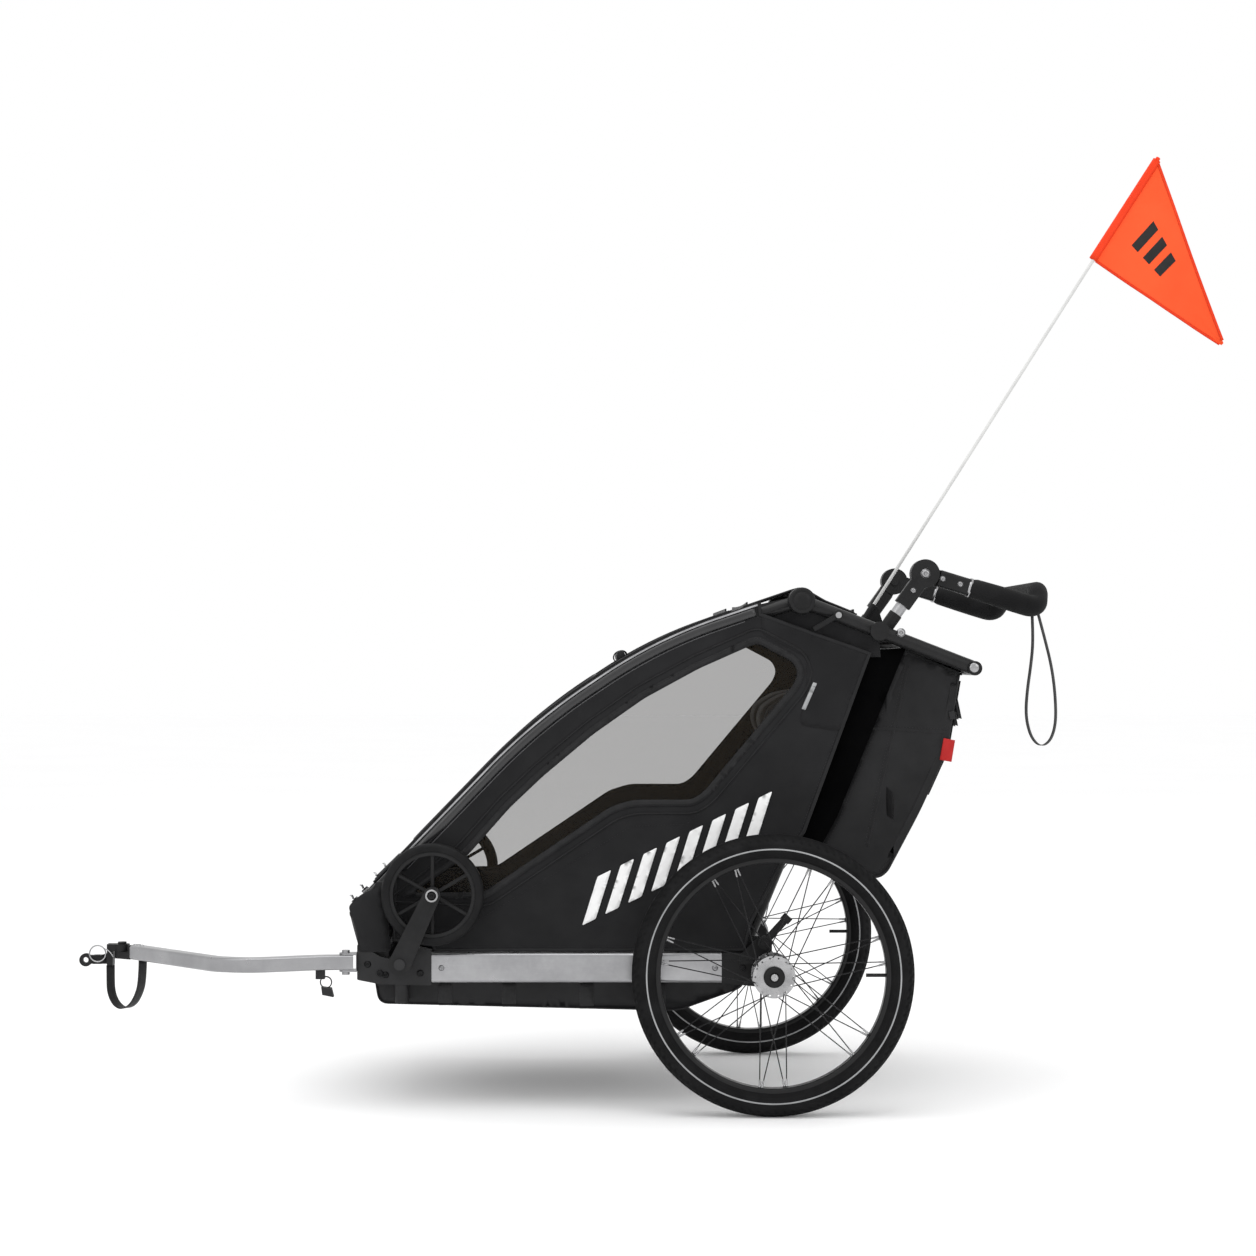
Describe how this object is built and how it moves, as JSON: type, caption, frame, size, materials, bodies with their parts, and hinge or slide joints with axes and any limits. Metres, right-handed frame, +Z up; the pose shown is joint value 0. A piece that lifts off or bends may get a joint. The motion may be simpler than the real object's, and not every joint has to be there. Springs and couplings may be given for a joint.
{
  "type": "child bicycle trailer",
  "caption": "Folding two-wheeled child trailer with fabric cabin, tow arm with axle hitch, stowed stroller wheels, push handle and safety flag.",
  "frame": {"origin": "on the ground under the middle of the outline, midway between the two wheels", "axes": "+X forward to the tow hitch, +Y to the trailer's left, +Z up"},
  "size_m": [2.122, 0.788, 1.7326],
  "materials": {
    "aluminium": "satin",
    "rim_black": "satin",
    "black_plastic": "moulded",
    "grey_plastic": "moulded",
    "steel": "bright",
    "tyre_rubber": "treaded",
    "soft_rubber": "matt",
    "foam": "foam",
    "fabric": "woven",
    "padding": "woven, padded",
    "film": "clear film",
    "webbing": "webbing",
    "pole": "smooth",
    "flag_cloth": "nylon"
  },
  "bodies": {
    "chassis": {"side_rails": "aluminium", "front_connector_left": "black_plastic", "front_connector_right": "black_plastic", "axle_housing_left": "black_plastic", "axle_housing_right": "black_plastic", "cross_tubes": "aluminium", "floor_tub": "fabric", "seat_base": "padding", "side_panel_left": "fabric", "side_panel_right": "fabric", "side_windows": "film", "chassis_bolts": "steel", "brake_bracket": "steel", "tow_hinge": "steel"},
    "wheel_left": {"tyre_left": "tyre_rubber", "rim_left": "rim_black", "spokes_left": "steel", "hub_left": "steel"},
    "wheel_right": {"tyre_right": "tyre_rubber", "rim_right": "rim_black", "spokes_right": "steel", "hub_right": "steel"},
    "brake_lever": {"brake_lever": "grey_plastic"},
    "roof_frame": {"roof_tube_left": "aluminium", "roof_tube_right": "aluminium", "nose_crossbar": "aluminium", "nose_bumper": "fabric", "knob_joints": "black_plastic", "top_frame": "black_plastic", "flag_socket": "black_plastic", "stem_sockets": "black_plastic", "handle_stems": "aluminium", "lower_handle_joints": "grey_plastic", "hinge_pins": "steel", "top_cover": "fabric", "luggage_bag": "fabric"},
    "release_levers": {"release_levers": "black_plastic"},
    "front_cover": {"front_cover": "fabric"},
    "bag_lid": {"bag_lid": "fabric"},
    "backrest": {"backrest_frame": "aluminium", "seat_back": "padding", "harness": "webbing"},
    "push_handle": {"upper_handle_joints": "grey_plastic", "handle_tube": "aluminium", "handle_grip": "foam", "wrist_strap": "webbing"},
    "stroller_leg_left": {"stroller_leg_left": "black_plastic"},
    "stroller_leg_right": {"stroller_leg_right": "black_plastic"},
    "stroller_wheel_left": {"stroller_tyre_left": "soft_rubber", "stroller_wheel_left": "black_plastic"},
    "stroller_wheel_right": {"stroller_tyre_right": "soft_rubber", "stroller_wheel_right": "black_plastic"},
    "tow_arm": {"tow_arm": "aluminium", "hitch_socket": "black_plastic", "arm_tether": "webbing", "safety_strap": "webbing"},
    "hitch_block": {"hitch_block": "black_plastic"},
    "hitch_bracket": {"hitch_bracket": "steel"},
    "flag": {"flag_pole": "pole", "flag": "flag_cloth"}
  },
  "joints": [
    {"name": "roof_fold", "type": "hinge", "parent": "chassis", "child": "roof_frame", "pos_m": [0.487, 0, 0.39826], "axis": [0, -1, 0], "range_deg": [0, 27], "deforming": ["side_panel_left", "side_panel_right", "side_windows", "luggage_bag"]},
    {"name": "backrest_fold", "type": "hinge", "parent": "roof_frame", "child": "backrest", "pos_m": [-0.409, 0, 0.85871], "axis": [0, -1, 0], "range_deg": [0, 35.1]},
    {"name": "front_cover_open", "type": "hinge", "parent": "roof_frame", "child": "front_cover", "pos_m": [-0.151, 0, 0.88293], "axis": [0, 1, 0], "range_deg": [-70, 0]},
    {"name": "bag_lid_open", "type": "hinge", "parent": "roof_frame", "child": "bag_lid", "pos_m": [-0.562, 0, 0.79037], "axis": [0, -1, 0], "range_deg": [-100, 0]},
    {"name": "handle_tilt", "type": "hinge", "parent": "roof_frame", "child": "push_handle", "pos_m": [-0.4955, 0, 0.963], "axis": [0, -1, 0], "range_deg": [-30, 30]},
    {"name": "release_lever_pull", "type": "hinge", "parent": "roof_frame", "child": "release_levers", "pos_m": [-0.335, 0, 0.8874], "axis": [0, 1, 0], "range_deg": [0, 20]},
    {"name": "flag_pull", "type": "slide", "parent": "roof_frame", "child": "flag", "axis": [-0.5371, 0, 0.8435], "range_m": [0, 0.12]},
    {"name": "wheel_left_spin", "type": "hinge", "parent": "chassis", "child": "wheel_left", "pos_m": [-0.213, 0, 0.25], "axis": [0, 1, 0], "continuous": true},
    {"name": "wheel_right_spin", "type": "hinge", "parent": "chassis", "child": "wheel_right", "pos_m": [-0.213, 0, 0.25], "axis": [0, 1, 0], "continuous": true},
    {"name": "brake_lever_press", "type": "hinge", "parent": "chassis", "child": "brake_lever", "pos_m": [-0.201, 0, 0.302], "axis": [0, -1, 0], "range_deg": [0, 28]},
    {"name": "stroller_leg_left_flip", "type": "hinge", "parent": "chassis", "child": "stroller_leg_left", "pos_m": [0.449, 0, 0.266], "axis": [0, 1, 0], "range_deg": [-154, 0]},
    {"name": "stroller_wheel_left_spin", "type": "hinge", "parent": "stroller_leg_left", "child": "stroller_wheel_left", "pos_m": [0.392, 0, 0.388], "axis": [0, 1, 0], "continuous": true},
    {"name": "stroller_leg_right_flip", "type": "hinge", "parent": "chassis", "child": "stroller_leg_right", "pos_m": [0.449, 0, 0.266], "axis": [0, 1, 0], "range_deg": [-154, 0]},
    {"name": "stroller_wheel_right_spin", "type": "hinge", "parent": "stroller_leg_right", "child": "stroller_wheel_right", "pos_m": [0.392, 0, 0.388], "axis": [0, 1, 0], "continuous": true},
    {"name": "tow_arm_swing", "type": "hinge", "parent": "chassis", "child": "tow_arm", "pos_m": [0.548, 0.301, 0.266], "axis": [0, 0, 1], "range_deg": [-60, 0]},
    {"name": "hitch_yaw", "type": "hinge", "parent": "tow_arm", "child": "hitch_block", "pos_m": [0.981, 0.126, 0.266], "axis": [0, 0, 1], "range_deg": [-40, 40]},
    {"name": "hitch_pitch", "type": "hinge", "parent": "hitch_block", "child": "hitch_bracket", "pos_m": [1.02, 0.122, 0.25], "axis": [0, 1, 0], "range_deg": [-25, 25]}
  ],
  "couplings": [
    {"joint": "backrest_fold", "follows": "roof_fold", "ratio": 1.3}
  ]
}
